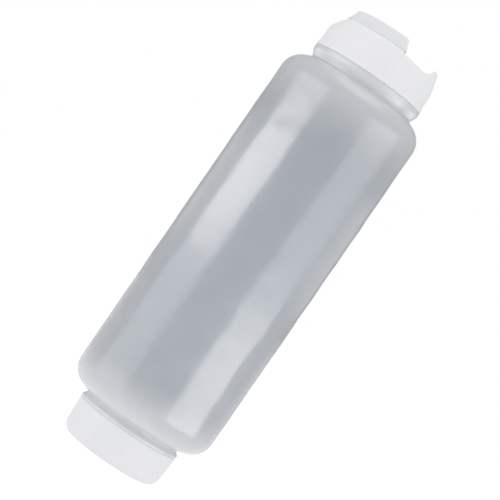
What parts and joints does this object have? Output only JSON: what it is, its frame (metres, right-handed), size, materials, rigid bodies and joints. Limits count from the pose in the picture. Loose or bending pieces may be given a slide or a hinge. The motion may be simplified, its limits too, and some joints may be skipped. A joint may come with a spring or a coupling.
{
  "type": "dispensing sauce bottle with flip cap",
  "caption": "Squeeze sauce bottle, open at both ends, with a flip-lid dispensing cap on one neck and a plain screw refill cap on the other.",
  "frame": {"origin": "centre of the flat closed end of the refill cap, on the bottle's axis, where the bottle stands", "axes": "+Z along the bottle's axis towards the flip cap, +X towards the thumb scoop, so the lid hinge is at -X"},
  "size_m": [0.073, 0.073, 0.2338],
  "materials": {
    "frosted_body": "natural translucent low-density polyethylene, satin",
    "white_cap": "white polypropylene, satin",
    "clear_silicone": "milky clear silicone, satin",
    "seal_rubber": "soft pale grey elastomer, matt"
  },
  "bodies": {
    "bottle": {"bottle": "frosted_body"},
    "dispensing_seal": {"dispensing_cap_seal": "seal_rubber"},
    "dispensing_cap": {"dispensing_cap": "white_cap", "lid_hinge_film": "white_cap", "dispensing_valve": "clear_silicone", "valve_retainer": "white_cap"},
    "flip_lid": {"flip_lid": "white_cap"},
    "refill_seal": {"refill_cap_seal": "seal_rubber"},
    "refill_cap": {"refill_cap": "white_cap"}
  },
  "joints": [
    {"name": "dispensing_cap_lift", "type": "slide", "parent": "bottle", "child": "dispensing_seal", "axis": [0, 0, 1], "range_m": [0, 0.0127]},
    {"name": "dispensing_cap_turn", "type": "hinge", "parent": "dispensing_seal", "child": "dispensing_cap", "pos_m": [0, 0, 0.2208], "axis": [0, 0, 1], "range_deg": [0, 1080.5]},
    {"name": "lid_flip", "type": "hinge", "parent": "dispensing_cap", "child": "flip_lid", "pos_m": [-0.02276, 0, 0.2278], "axis": [0, -1, 0], "range_deg": [0, 140], "deforming": ["lid_hinge_film"]},
    {"name": "refill_cap_lift", "type": "slide", "parent": "bottle", "child": "refill_seal", "axis": [0, 0, -1], "range_m": [0, 0.01693]},
    {"name": "refill_cap_turn", "type": "hinge", "parent": "refill_seal", "child": "refill_cap", "pos_m": [0, 0, 0.0032], "axis": [0, 0, -1], "range_deg": [0, 1440.5]}
  ],
  "couplings": [
    {"joint": "dispensing_cap_turn", "follows": "dispensing_cap_lift", "rad_per_m": 1484.2},
    {"joint": "refill_cap_turn", "follows": "refill_cap_lift", "rad_per_m": 1484.2}
  ]
}
